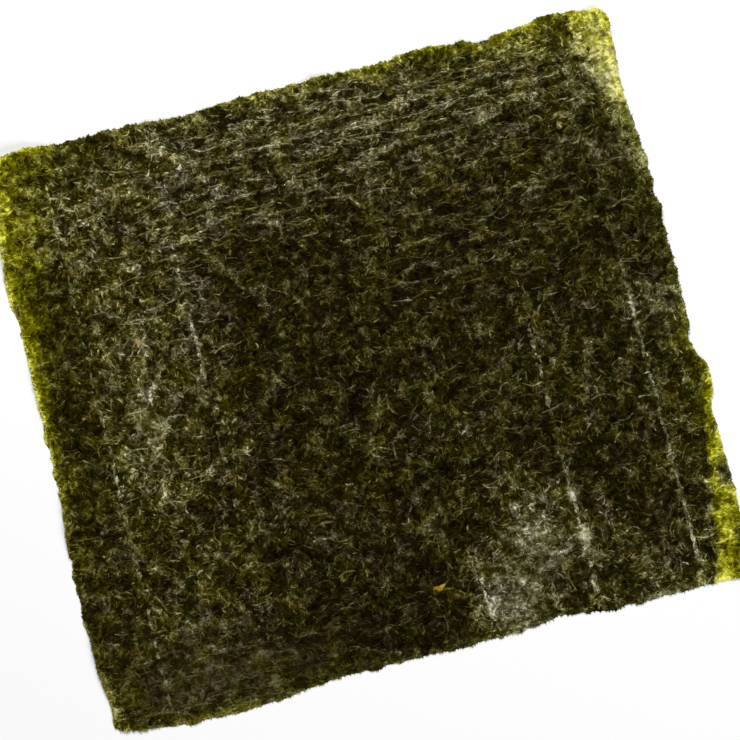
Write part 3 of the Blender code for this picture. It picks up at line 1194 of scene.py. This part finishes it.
@dataclass
class Blades(SheetPart):
    """All blades of one kind as one mesh of small closed bodies.

    Attributes:
        sheet: the leaf that they lie in.
        kind: their kind.
        seed: fixes the random draw.
        sink: how deep their edges lie in the felt, mm.
        crest_unevenness: how unlike a crest's tones are along a blade, as a power of e.
        rng: the random draw.
        form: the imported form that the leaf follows.
        marks: the leaf's marks of drying.
    """

    sheet: FeltSheet
    kind: BladeKind
    seed: int
    sink: float = 0.07
    crest_unevenness: float = 0.2
    rng: np.random.Generator = field(init=False)
    form: SheetForm = field(init=False)
    marks: DryingMarks = field(init=False)

    def __post_init__(self) -> None:
        """Start the seeded draw and take over what the leaf follows."""
        self.rng = np.random.default_rng(self.seed)
        self.form = self.sheet.form
        self.marks = self.sheet.marks

    def _between(self, limits: tuple[float, float], count: int, lean: float = 1.0) -> np.ndarray:
        """Draw values between two limits.

        Args:
            limits: lowest and highest value.
            count: how many values.
            lean: over 1, the values lean to the lower limit.

        Returns:
            The values.
        """
        return limits[0] + (limits[1] - limits[0]) * self.rng.random(count) ** lean

    def _anywhere(self, count: int, margin: float) -> tuple[np.ndarray, np.ndarray]:
        """Draw evenly spread places inside the border.

        Args:
            count: how many places.
            margin: least distance to the border, mm.

        Returns:
            Places along and across the sheet, mm.
        """
        x, y = np.empty(0), np.empty(0)
        while len(x) < count:
            new_x = self.rng.uniform(self.form.low[0], self.form.high[0], count)
            new_y = self.rng.uniform(self.form.low[1], self.form.high[1], count)
            keep = self.form.encloses(new_x, new_y)
            keep[keep] = self.form.inset(new_x[keep], new_y[keep]) > margin
            x, y = np.append(x, new_x[keep]), np.append(y, new_y[keep])
        return x[:count], y[:count]

    def _tangled(self) -> tuple[np.ndarray, np.ndarray, np.ndarray]:
        """Lay blades that swirl over the whole face, but not over the thread dashes.

        Returns:
            Places along and across the sheet, mm, and headings in radians.
        """
        x, y = self._anywhere(self.kind.count, margin=0.4)
        swirl_size = 9.0
        swirl = 2.2 * math.pi * self.sheet.grain.at(x, y, swirl_size)
        heading = swirl + self.rng.normal(0, 0.9, len(x))
        # Where the reeds show, up to half of the blades lie along them.
        combed = self.rng.random(len(x)) < 0.5 * self.marks.reed(x, y)
        heading[combed] = self.rng.normal(0, 0.35, combed.sum())
        free = self.rng.random(len(x)) > 1.6 * self.marks.pressed(x, y, self.sheet.grain)
        return x[free], y[free], heading[free]

    def _along_reeds(self) -> tuple[np.ndarray, np.ndarray, np.ndarray]:
        """Lay blades combed along the reed ridges, most of them where the reeds show.

        Returns:
            Places along and across the sheet, mm, and headings in radians.
        """
        draws_per_blade = 16
        x, y = self._anywhere(draws_per_blade * self.kind.count, margin=1.0)
        ridge = self.marks.reed_wave(x, y, self.sheet.grain)
        # Most of them lie on the ridges, where their pale tones stand as painted highlights along the
        # reeds.
        chance = (0.06 + self.marks.reed(x, y)) * np.clip(0.25 + 0.75 * ridge, 0.05, 1)
        keep = np.flatnonzero(self.rng.random(len(x)) < chance)[:self.kind.count]
        return x[keep], y[keep], self.rng.normal(0, 0.13, len(keep))

    def _along_threads(self) -> tuple[np.ndarray, np.ndarray, np.ndarray]:
        """Lay the pale flat blades in the dashes of the thread rows.

        Returns:
            Places along and across the sheet, mm, and headings in radians.
        """
        draws_per_blade = 5
        clear_of_foot, clear_of_head = 4, 3
        rows = [row.x for row in self.marks.threads]
        x = self.rng.choice(rows, draws_per_blade * self.kind.count)
        y = self.rng.uniform(self.form.low[1] + clear_of_foot, self.form.high[1] - clear_of_head,
                             len(x))
        clear = self.marks.pressed(x, y, self.sheet.grain)
        keep = np.flatnonzero(self.rng.random(len(x)) < clear)[:self.kind.count]
        x, y = x[keep] + self.rng.normal(0, 0.25, len(keep)), y[keep]
        return x, y, math.pi / 2 + self.rng.normal(0, 0.2, len(x))

    def _out_of_rim(self) -> tuple[np.ndarray, np.ndarray, np.ndarray]:
        """Lay the fringe that stands out of the rim.

        Returns:
            Places along and across the sheet, mm, and headings in radians.
        """
        border = self.form.border
        pick = self.rng.integers(0, len(border), self.kind.count)
        reach = 3
        along = np.roll(border, -reach, 0) - np.roll(border, reach, 0)
        outward = np.arctan2(-along[pick, 0], along[pick, 1])
        back = self.rng.uniform(-0.1, 0.7, len(pick))
        x = border[pick, 0] - back * np.cos(outward)
        y = border[pick, 1] - back * np.sin(outward)
        return x, y, outward + self.rng.normal(0, 0.85, len(pick))

    def _underneath(self) -> tuple[np.ndarray, np.ndarray, np.ndarray]:
        """Lay the flat flakes on the underside: their places in mm, headings in radians."""
        x, y = self._anywhere(self.kind.count, margin=1.5)
        return x, y, self.rng.uniform(0, math.pi, len(x))

    def _places(self) -> tuple[np.ndarray, np.ndarray, np.ndarray]:
        """Lay the blades as their kind lies.

        Returns:
            Places along and across the sheet, mm, and headings in radians.
        """
        lay = {
            Lie.TANGLED: self._tangled,
            Lie.ALONG_REEDS: self._along_reeds,
            Lie.ALONG_THREADS: self._along_threads,
            Lie.OUT_OF_RIM: self._out_of_rim,
            Lie.UNDERNEATH: self._underneath,
        }
        return lay[self.kind.lie]()

    def _centre_lines(self, x: np.ndarray, y: np.ndarray, heading: np.ndarray,
                      smaller: np.ndarray, fitting: np.ndarray,
                      ) -> tuple[np.ndarray, np.ndarray, np.ndarray]:
        """Draw every blade's centre line.

        Args:
            x: middle of each blade along the sheet, mm.
            y: middle of each blade across the sheet, mm.
            heading: mean direction of each blade, in radians.
            smaller: share of its kind's length that each blade has.
            fitting: longest that each blade may be where it lies, mm.

        Returns:
            Places along and across the sheet of each station, mm, and the heading there.
        """
        count = len(x)
        length = np.minimum(self._between(self.kind.length, count, 1.5) * smaller, fitting)
        bend = self.rng.normal(0, self.kind.bend / 2, count)
        share = np.linspace(0, 1, self.kind.stations)
        waver = self.rng.normal(0, 0.45, count)[:, None] * np.sin(2 * math.pi * share)
        turn = heading[:, None] + bend[:, None] * (share - 0.5) + waver
        middle = (turn[:, 1:] + turn[:, :-1]) / 2
        step = (length / (self.kind.stations - 1))[:, None]
        run_x = np.concatenate([np.zeros((count, 1)), np.cumsum(np.cos(middle) * step, 1)], 1)
        run_y = np.concatenate([np.zeros((count, 1)), np.cumsum(np.sin(middle) * step, 1)], 1)
        line_x = x[:, None] + run_x - run_x.mean(1, keepdims=True)
        line_y = y[:, None] + run_y - run_y.mean(1, keepdims=True)
        return line_x, line_y, turn

    def build(self) -> bpy.types.Object:
        """Build the blades as one piece of closed three-sided spindles.

        Returns:
            The piece.
        """
        kind = self.kind
        x, y, heading = self._places()
        count = len(x)
        inset = self.form.inset(x, y)
        # A blade near the rim is short enough to stay inside it. The fringe stands out of the
        # rim, so it may be longer, and it is as thin as the very edge.
        fitting = 0.7 + 1.7 * inset
        if kind.lie is Lie.OUT_OF_RIM:
            inset = 0 * inset
            fitting = fitting + kind.length[1]
        thin, gain = self.marks.thin(x, y, inset, self.sheet.grain)
        even = self.marks.evenness(x, y, thin, gain)
        smaller = 1 - 0.6 * even
        lines = self._centre_lines(x, y, heading, smaller, fitting)
        left, right, crest = self._edges(*lines, smaller)

        inner = kind.stations - 2
        per_blade = 3 * inner + 2
        points = np.empty((count, per_blade, 3))
        points[:, 0] = left[:, 0]
        points[:, 1] = left[:, -1]
        for corner, row in enumerate((left, right, crest)):
            points[:, 2 + corner::3] = row[:, 1:-1]
        template = self._triangles(inner)
        offsets = (np.arange(count) * per_blade)[:, None, None]
        triangles = (template[None] + offsets).reshape(-1, 3)
        return mesh_piece(kind.name, points.reshape(-1, 3), triangles,
                          self._layers(x, y, thin, gain, even),
                          self._bake_map(count, template, inner), smooth=False)

    def _edges(self, line_x: np.ndarray, line_y: np.ndarray, turn: np.ndarray,
               smaller: np.ndarray) -> list[np.ndarray]:
        """Give each blade its width and height along its centre line.

        Args:
            line_x: place along the sheet of each station, one row for each blade, mm.
            line_y: place across the sheet of each station, one row for each blade, mm.
            turn: heading at each station, in radians.
            smaller: share of its kind's width and rise that each blade has.

        Returns:
            Points of the left edges, right edges and crests, mm.
        """
        kind = self.kind
        count = len(smaller)
        share = np.linspace(0, 1, kind.stations)
        taper = self._between((0.7, 1.5), count)[:, None]
        fullness = np.maximum(np.sin(math.pi * share[None] ** taper), 0) ** 0.5
        half = 0.5 * (self._between(kind.width, count, 1.3) * smaller)[:, None] * fullness
        rise = (self._between(kind.rise, count) * smaller)[:, None] * fullness
        skew = self.rng.uniform(-0.5, 0.5, count)[:, None]
        low, high = self.form.low + 0.02, self.form.high - 0.02
        rows = []
        for is_crest, lean in ((False, 1.0), (False, -1.0), (True, skew)):
            x = np.clip(line_x - np.sin(turn) * half * lean, low[0], high[0])
            y = np.clip(line_y + np.cos(turn) * half * lean, low[1], high[1])
            # A flake underneath has its edges in the felt and its crest just below the face.
            if kind.lie is Lie.UNDERNEATH:
                z = np.maximum(self.form.under(x, y) + (-0.03 if is_crest else 0.05), 0.0)
            else:
                z = self.sheet.upper(x, y) + (rise if is_crest else -self.sink)
                z = np.clip(z, self.form.under(x, y) + 0.02, self.form.high[2] - 0.01)
            rows.append(np.stack([x, y, z], -1))
        return rows

    def _layers(self, x: np.ndarray, y: np.ndarray, thin: np.ndarray, gain: np.ndarray,
                even: np.ndarray) -> dict[str, np.ndarray]:
        """Work out what the finish reads at each point, with painted shade at a blade's foot.

        Args:
            x: middle of each blade along the sheet, mm.
            y: middle of each blade across the sheet, mm.
            thin: how yellow-green and thin the felt is there, 0 to 1.
            gain: power of e by which thin felt is lighter there.
            even: how even and smooth the felt is there.

        Returns:
            Values from 0 to 1, by the name of their layer.
        """
        kind, grain = self.kind, self.sheet.grain
        count = len(x)
        inner = kind.stations - 2
        per_blade = 3 * inner + 2
        paler = kind.paler + kind.spread * self.rng.normal(0, 1, count)
        if kind.lie is not Lie.ALONG_THREADS:
            paler = paler + self.sheet.clusters(x, y)
        olive = self.sheet.olive(x, y) + self.rng.normal(0, 0.07, count)
        green = self.sheet.green(x, y) + self.rng.normal(0, 0.14, count)
        crest = self.marks.lightness(x, y, thin, gain, paler, grain)
        light = np.repeat(crest[:, None], per_blade, axis=1)
        # A blade's foot gets painted shade, so that its crest shows lit; the more even the felt, the
        # less shade.
        foot = (kind.foot + (1 - kind.foot) * np.clip(1.6 * even, 0, 1))[:, None]
        light[:, :2] *= foot
        light[:, 2::3] *= foot
        light[:, 3::3] *= foot
        uneven = self.rng.normal(0, self.crest_unevenness, (count, inner))
        light[:, 4::3] *= np.exp(uneven * (1 - 0.6 * even)[:, None])
        whole_blade = {
            "thin": thin,
            "olive": np.clip(olive, 0, 1),
            "green": np.clip(green, 0, 1),
            "sheen_and_dashes": self.marks.sheen_and_dashes(x, y, grain),
            "even": even,
        }
        layers = {name: np.repeat(values, per_blade) for name, values in whole_blade.items()}
        return layers | {"light": light.ravel()}

    @staticmethod
    def _triangles(inner: int) -> np.ndarray:
        """List the faces of one spindle: tips are points 0 and 1, then three points a station.

        Args:
            inner: how many stations lie between the tips.

        Returns:
            Point numbers, three for each triangle.
        """
        faces = []
        for corner in range(3):
            following = (corner + 1) % 3
            faces.append((0, 2 + following, 2 + corner))
            last = 2 + 3 * (inner - 1)
            faces.append((1, last + corner, last + following))
            for station in range(inner - 1):
                here = 2 + 3 * station
                ahead = here + 3
                faces.append((here + corner, here + following, ahead + corner))
                faces.append((here + following, ahead + following, ahead + corner))
        return np.array(faces)[:, ::-1]

    @staticmethod
    def _bake_map(count: int, template: np.ndarray, inner: int) -> np.ndarray:
        """Give each blade its own small cell of the map, its long side along u.

        Args:
            count: how many blades there are.
            template: the faces of one blade.
            inner: how many stations lie between its tips.

        Returns:
            Place on the map of each face corner, 0 to 1.
        """
        columns = max(1, round(math.sqrt(count / 3)))
        rows = math.ceil(count / columns)
        u = [0.0, 1.0]
        v = [0.5, 0.5]
        for station in range(inner):
            u += [(station + 1) / (inner + 1)] * 3
            v += [0.0, 1.0, 0.5]
        local = np.stack([np.array(u), np.array(v)], -1)[template]
        cell = np.stack(np.divmod(np.arange(count), rows), -1)[:, None, None]
        size = np.array([1 / columns, 1 / rows])
        return ((cell + 0.1 + 0.8 * local[None]) * size).reshape(-1, 2)


@dataclass(frozen=True)
class Fleck(SheetPart):
    """A small scrap of other seaweed dried into the felt, sizes in mm.

    Attributes:
        name: the piece's name.
        x: place along the sheet.
        y: place across the sheet.
        length: its size along its heading.
        width: its size across its heading.
        heading: its direction, in radians.
        colour: the scrap's colour.
        height: how far it stands over the felt's own face.
        corners: how many points its rim has.
    """

    name: str
    x: float
    y: float
    length: float
    width: float
    heading: float
    colour: str
    height: float
    corners: int = 11

    def build(self, sheet: FeltSheet) -> bpy.types.Object:
        """Build the scrap as a thin closed lens with an uneven rim.

        Args:
            sheet: the leaf that it lies in.

        Returns:
            The piece.
        """
        around = np.linspace(0, 2 * math.pi, self.corners, endpoint=False)
        uneven = 0.5 + 0.14 * np.sin(3 * around + self.x)
        along = self.length * uneven * np.cos(around)
        across = self.width * uneven * np.sin(around)
        turn_x, turn_y = math.cos(self.heading), math.sin(self.heading)
        x = self.x + np.append(along * turn_x - across * turn_y, (0, 0))
        y = self.y + np.append(along * turn_y + across * turn_x, (0, 0))
        z = sheet.upper(x, y) + self.height
        z[-1] = sheet.form.top(x[-1:], y[-1:])[0]
        rim = np.arange(len(around))
        following = np.roll(rim, -1)
        crown, foot = np.full_like(rim, len(rim)), np.full_like(rim, len(rim) + 1)
        triangles = np.vstack([np.column_stack([rim, following, crown]),
                               np.column_stack([following, rim, foot])])
        points = np.column_stack([x, y, np.minimum(z, sheet.form.high[2] - 0.01)])
        local = np.column_stack([x - self.x, y - self.y]) / self.length * 0.9 + 0.5
        return mesh_piece(self.name, points, triangles, {}, local[triangles].reshape(-1, 2),
                          smooth=False)


# ---------------------------------------------------------------- finishes


# Numbers of the colour sockets of a Mix node, whose names are shared with its other sockets.
MIX_FACTOR, MIX_A, MIX_B, MIX_RESULT = 0, 6, 7, 2


def add_node(tree: bpy.types.NodeTree, kind: str, inputs: dict | None = None,
             **settings: object) -> bpy.types.Node:
    """Add a node with its settings and links.

    Args:
        tree: the node tree to add to.
        kind: Blender's name of the node type.
        inputs: value or source socket for each input, by name or number.
        settings: properties of the node.

    Returns:
        The new node.
    """
    node = tree.nodes.new(kind)
    for name, value in settings.items():
        setattr(node, name, value)
    for name, value in (inputs or {}).items():
        if isinstance(value, bpy.types.NodeSocket):
            tree.links.new(value, node.inputs[name])
        else:
            node.inputs[name].default_value = value
    return node


def per_metre(size_mm: float) -> float:
    """Texture scale, in cells a metre, of a pattern whose cells have this size."""
    return 1 / (size_mm * MM)


# Dried laver is a red seaweed, shredded, pressed into felt and dried on a reed mat. Its colour
# is nearly black in its pits, with painted shade there, greyish, olive or green on its folds,
# whose crests carry painted highlights, whitish where threads have pressed it, and a clear
# yellow-green where it is thin, with painted light shining through. The finish itself is dull,
# with no gloss to speak of, and the sheen on its swells is painted in.
@dataclass(frozen=True)
class DriedLaver:
    """Finish of the felt, which mixes five hues by what the pieces carry.

    Attributes:
        name: the material's name.
        grey: hue of greyish brown felt.
        olive: hue of yellow-olive felt.
        green: hue of green felt.
        whitish_sheen: hue of whitish felt, for the painted sheen and the thread dashes.
        thin: hue of thin felt, its own yellow-green with painted light shining through it.
        tone_steps: how many tones of each hue the colour runs through.
        roughness: roughness of dry felt.
        specular: how much of a plain surface's mirror light it has.
        bead_mm: grain of the felt. The real one is finer, but wouldn't show.
        bead_contrast: how much that grain lightens and darkens the felt.
        wrinkles: sizes of the curled wrinkles in mm, and how clear each is.
        wrinkle_contrast: how much paler their crests are, a painted highlight.
        bump_mm: how high their crests shade.
    """

    name: str
    grey: Hue = Hue(7.0, 20.5, 10.5)
    olive: Hue = Hue(6.6, 46, 11)
    green: Hue = Hue(1.5, 35, 10.5)
    whitish_sheen: Hue = Hue(0.5, 28, 12)
    thin: Hue = Hue(2.5, 132, 48)
    tone_steps: int = 11
    roughness: float = 0.5
    specular: float = 0.015
    bead_mm: float = 1.1
    bead_contrast: float = 0.65
    wrinkles: tuple[tuple[float, float], ...] = ((5.5, 1.0), (3.4, 0.8))
    wrinkle_contrast: float = 0.6
    bump_mm: float = 0.10

    def _tones(self, tree: bpy.types.NodeTree, share: bpy.types.NodeSocket,
               hue: Hue) -> bpy.types.NodeSocket:
        """Turn a lightness share into a colour of one hue.

        Args:
            tree: the material's node tree.
            share: lightness as a share of the lightest.
            hue: the hue.

        Returns:
            The colour.
        """
        ramp = add_node(tree, "ShaderNodeValToRGB", {"Fac": share})
        stops = ramp.color_ramp.elements
        while len(stops) < self.tone_steps:
            stops.new(0.5)
        for step, stop in enumerate(stops):
            stop.position = step / (self.tone_steps - 1)
            stop.color = linear_rgba(hue.tone(LIGHTEST * stop.position))
        return ramp.outputs["Color"]

    def _wrinkles(self, tree: bpy.types.NodeTree,
                  place: bpy.types.NodeSocket) -> bpy.types.NodeSocket:
        """Draw thin curled crests in a few sizes, where a noise passes its middle.

        Args:
            tree: the material's node tree.
            place: place on the object.

        Returns:
            1 on a crest, 0 away from all of them.
        """
        highest = 0.0
        for cell, strength in self.wrinkles:
            wave = add_node(tree, "ShaderNodeTexNoise", {
                "Vector": place, "Scale": per_metre(cell), "Detail": 2.0, "Roughness": 0.45,
                "Distortion": 0.9}).outputs["Fac"]
            off_middle = add_node(tree, "ShaderNodeMath", {0: wave, 1: 0.5}, operation="SUBTRACT")
            away = add_node(tree, "ShaderNodeMath", {0: off_middle.outputs[0]}, operation="ABSOLUTE")
            crest = add_node(tree, "ShaderNodeMapRange", {
                "Value": away.outputs[0], "From Min": 0.0, "From Max": 0.06, "To Min": strength,
                "To Max": 0.0}, interpolation_type="SMOOTHSTEP").outputs[0]
            higher = add_node(tree, "ShaderNodeMath", {0: highest, 1: crest}, operation="MAXIMUM")
            highest = higher.outputs[0]
        return highest

    def build(self) -> bpy.types.Material:
        """Make the material, which reads the values that the pieces carry.

        Returns:
            The material.
        """
        material = bpy.data.materials.new(self.name)
        material.use_nodes = True
        tree = material.node_tree
        tree.nodes.clear()
        thin, olive, green, sheen_and_dashes, even, light = (
            add_node(tree, "ShaderNodeAttribute", attribute_name=name).outputs["Fac"]
            for name in ("thin", "olive", "green", "sheen_and_dashes", "even", "light"))
        place = add_node(tree, "ShaderNodeTexCoord").outputs["Object"]

        # The grain lightens and darkens the felt, and the wrinkles' crests carry a painted
        # highlight. The more even a piece is to look, the less its wrinkles do so.
        bead = add_node(tree, "ShaderNodeTexNoise", {
            "Vector": place, "Scale": per_metre(self.bead_mm), "Detail": 1.0}).outputs["Fac"]
        beaded = add_node(tree, "ShaderNodeMapRange", {
            "Value": bead, "From Min": 0.3, "From Max": 0.7,
            "To Min": 1 - 0.5 * self.bead_contrast, "To Max": 1 + 0.6 * self.bead_contrast}).outputs[0]
        wrinkle = self._wrinkles(tree, place)
        folded = add_node(tree, "ShaderNodeMapRange", {
            "Value": wrinkle, "To Min": 0.8, "To Max": 0.8 + self.wrinkle_contrast}).outputs[0]
        wrinkled = add_node(tree, "ShaderNodeMath", {0: 1.0, 1: even}, operation="SUBTRACT")
        folded = add_node(tree, "ShaderNodeMath", {0: folded, 1: wrinkled.outputs[0]},
                          operation="MULTIPLY").outputs[0]
        folded = add_node(tree, "ShaderNodeMath", {0: folded, 1: even}, operation="ADD").outputs[0]
        relief = add_node(tree, "ShaderNodeMath", {0: beaded, 1: folded}, operation="MULTIPLY")
        share = add_node(tree, "ShaderNodeMath", {0: light, 1: relief.outputs[0]},
                         operation="MULTIPLY").outputs[0]

        colour = self._tones(tree, share, self.grey)
        for amount, hue in ((olive, self.olive), (green, self.green), (sheen_and_dashes, self.whitish_sheen),
                            (thin, self.thin)):
            colour = add_node(tree, "ShaderNodeMix", {
                MIX_FACTOR: amount, MIX_A: colour, MIX_B: self._tones(tree, share, hue)},
                data_type="RGBA").outputs[MIX_RESULT]

        shader = add_node(tree, "ShaderNodeBsdfPrincipled", {
            "Base Color": colour,
            "Roughness": self.roughness,
            "Specular IOR Level": self.specular,
            "Normal": add_node(tree, "ShaderNodeBump", {
                "Height": wrinkle, "Distance": self.bump_mm * MM, "Strength": 1.0}).outputs[0]})
        add_node(tree, "ShaderNodeOutputMaterial", {"Surface": shader.outputs[0]})
        return material


# A scrap of another seaweed, dried into the felt. It is as dull, and stands out by its colour.
@dataclass(frozen=True)
class DriedScrap:
    """Finish of a scrap of another seaweed.

    Attributes:
        name: the material's name.
        colour: its colour.
        roughness: roughness, as the felt's.
        specular: how much of a plain surface's mirror light it has, as the felt.
    """

    name: str
    colour: str
    roughness: float = 0.5
    specular: float = 0.015

    def build(self) -> bpy.types.Material:
        """Make the scrap's material.

        Returns:
            The material.
        """
        material = bpy.data.materials.new(self.name)
        material.use_nodes = True
        shader = material.node_tree.nodes["Principled BSDF"]
        shader.inputs["Base Color"].default_value = linear_rgba(self.colour)
        shader.inputs["Roughness"].default_value = self.roughness
        shader.inputs["Specular IOR Level"].default_value = self.specular
        return material


# A table top with a matt white paint, which keeps the felt's own colours and its edge clear.
@dataclass(frozen=True)
class PlainFloor:
    """Finish of the table.

    Attributes:
        name: the material's name.
        colour: its colour.
        roughness: roughness of matt paint.
    """

    name: str = "pale_table"
    colour: str = "#fafafa"
    roughness: float = 0.8

    def build(self) -> bpy.types.Material:
        """Make the table's material.

        Returns:
            The material.
        """
        material = bpy.data.materials.new(self.name)
        material.use_nodes = True
        shader = material.node_tree.nodes["Principled BSDF"]
        shader.inputs["Base Color"].default_value = linear_rgba(self.colour)
        shader.inputs["Roughness"].default_value = self.roughness
        return material


# ---------------------------------------------------------------- the studio


@dataclass(frozen=True)
class SoftBox:
    """A square soft light that faces the middle of the sheet.

    Attributes:
        name: the light's name.
        azimuth: direction it stands in, degrees from +X towards +Y.
        elevation: how high it stands, degrees.
        distance: from the middle of the sheet, metres.
        size: length of its sides, metres.
        power: its power, watts.
    """

    name: str
    azimuth: float
    elevation: float
    distance: float
    size: float
    power: float

    def build(self) -> bpy.types.Object:
        """Place the light.

        Returns:
            The light.
        """
        light = bpy.data.lights.new(self.name, "AREA")
        light.shape = "SQUARE"
        light.size = self.size
        light.energy = self.power
        lamp = bpy.data.objects.new(self.name, light)
        turn, height = math.radians(self.azimuth), math.radians(self.elevation)
        level = math.cos(height)
        toward = Vector((math.cos(turn) * level, math.sin(turn) * level, math.sin(height)))
        lamp.location = toward * self.distance
        lamp.rotation_euler = (-lamp.location).to_track_quat("-Z", "Y").to_euler()
        bpy.context.scene.collection.objects.link(lamp)
        return lamp


@dataclass(frozen=True)
class Studio:
    """Pale floor, soft lights and a camera that looks almost straight down.

    The camera's place and turn were solved from the sheet's four corners in the photograph. Two
    of them lie just outside it, where the sides would meet, and the corners' heights off the
    table and the lens were assumed.

    Attributes:
        lens: focal length, mm.
        sensor: width of the sensor, mm.
        place: where the camera stands, metres.
        turn: how it is turned about X, Y and Z, degrees.
        floor_size: length of the table's sides, metres.
        sky: strength of the even light from all round.
        boxes: the soft lights.
    """

    lens: float = 85.0
    sensor: float = 36.0
    place: tuple[float, float, float] = (0.0014, -0.0421, 0.5551)
    turn: tuple[float, float, float] = (4.09, 1.0, -14.09)
    floor_size: float = 6.0
    sky: float = 0.05
    boxes: tuple[SoftBox, ...] = (
        SoftBox("key_box", 86, 36, 1.6, 0.8, 32),
        SoftBox("fill_box", -70, 34, 1.6, 1.0, 17),
    )

    def build(self) -> None:
        """Make the floor, the lights, the sky and the camera."""
        half = self.floor_size / 2
        mesh = bpy.data.meshes.new("floor")
        corners = [(-half, -half, 0), (half, -half, 0), (half, half, 0), (-half, half, 0)]
        mesh.from_pydata(corners, [], [(0, 1, 2, 3)])
        mesh.materials.append(PlainFloor().build())
        floor = bpy.data.objects.new("floor", mesh)
        bpy.context.scene.collection.objects.link(floor)
        for box in self.boxes:
            box.build()

        world = bpy.data.worlds.new("studio")
        world.use_nodes = True
        background = world.node_tree.nodes["Background"]
        background.inputs["Color"].default_value = (1, 1, 1, 1)
        background.inputs["Strength"].default_value = self.sky
        bpy.context.scene.world = world
        bpy.context.scene.view_settings.view_transform = "Standard"

        lens = bpy.data.cameras.new("camera")
        lens.lens = self.lens
        lens.sensor_width = self.sensor
        lens.clip_start = 0.01
        camera = bpy.data.objects.new("camera", lens)
        camera.location = self.place
        camera.rotation_euler = [math.radians(angle) for angle in self.turn]
        bpy.context.scene.collection.objects.link(camera)
        bpy.context.scene.camera = camera


# ---------------------------------------------------------------- the object


BLADE_KINDS = (
    BladeKind("felt_flakes", Lie.TANGLED, count=9500, stations=5, length=(1.8, 5.0),
              width=(1.4, 2.6), rise=(0.04, 0.14), bend=1.4, paler=-0.8, spread=0.4, foot=0.5),
    BladeKind("felt_folds", Lie.TANGLED, count=11000, stations=5, length=(1.8, 5.4),
              width=(0.7, 1.4), rise=(0.08, 0.22), bend=1.8, paler=0.2, spread=0.65, foot=0.42),
    BladeKind("felt_hairs", Lie.TANGLED, count=16000, stations=4, length=(1.2, 3.8),
              width=(0.4, 0.85), rise=(0.10, 0.26), bend=1.7, paler=0.5, spread=0.6, foot=0.45),
    BladeKind("felt_curls", Lie.TANGLED, count=1100, stations=7, length=(3.5, 8.0),
              width=(0.5, 1.1), rise=(0.10, 0.24), bend=2.6, paler=0.8, spread=0.7, foot=0.45),
    BladeKind("reed_ridges", Lie.ALONG_REEDS, count=1300, stations=7, length=(2.5, 13.0),
              width=(0.6, 1.3), rise=(0.12, 0.28), bend=0.7, paler=0.9, spread=0.75, foot=0.45),
    BladeKind("thread_marks", Lie.ALONG_THREADS, count=700, stations=5, length=(1.6, 3.8),
              width=(0.9, 1.6), rise=(0.13, 0.24), bend=0.4, paler=0.35, spread=0.5, foot=0.9),
    BladeKind("rim_fringe", Lie.OUT_OF_RIM, count=3200, stations=4, length=(0.6, 1.7),
              width=(0.3, 0.7), rise=(0.02, 0.1), bend=1.6, paler=0.0, spread=0.5, foot=0.8),
    BladeKind("under_flakes", Lie.UNDERNEATH, count=4000, stations=4, length=(1.5, 4.0),
              width=(0.5, 1.3), rise=(0.0, 0.0), bend=1.2, paler=0.0, spread=0.7, foot=0.8),
)

FLECKS = (
    Fleck("orange_scrap", 6.2, -73.4, length=3.4, width=1.7, heading=0.0,
          colour="#8c7216", height=0.34),
    Fleck("orange_shred", 7.2, -73.0, length=1.9, width=1.1, heading=0.3,
          colour="#a08c34", height=0.36),
    Fleck("buff_scrap", -68.0, 25.3, length=1.6, width=3.0, heading=0.0,
          colour="#9a8452", height=0.32),
)


def main() -> None:
    """Build the studio and the sheet with all its blades, and report each piece."""
    logging.basicConfig(level=logging.INFO, format="%(message)s")
    Studio().build()
    form = SheetForm(SHEET_NODE)
    log.info("border of %d points", len(form.border))
    marks = DryingMarks()
    sheet = FeltSheet(form, marks)
    laver = DriedLaver("dried_laver_felt", wrinkle_contrast=1.5).build()
    blade_laver = DriedLaver("dried_laver_blades", bead_contrast=0.4).build()
    sheet.dress(sheet.build(), laver)
    for seed, kind in enumerate(BLADE_KINDS, start=FIRST_BLADE_SEED):
        blades = Blades(sheet, kind, seed)
        blades.dress(blades.build(), blade_laver)
    for fleck in FLECKS:
        scrap = DriedScrap(f"dried_{fleck.name}", fleck.colour).build()
        fleck.dress(fleck.build(sheet), scrap)


if __name__ == "__main__":
    main()
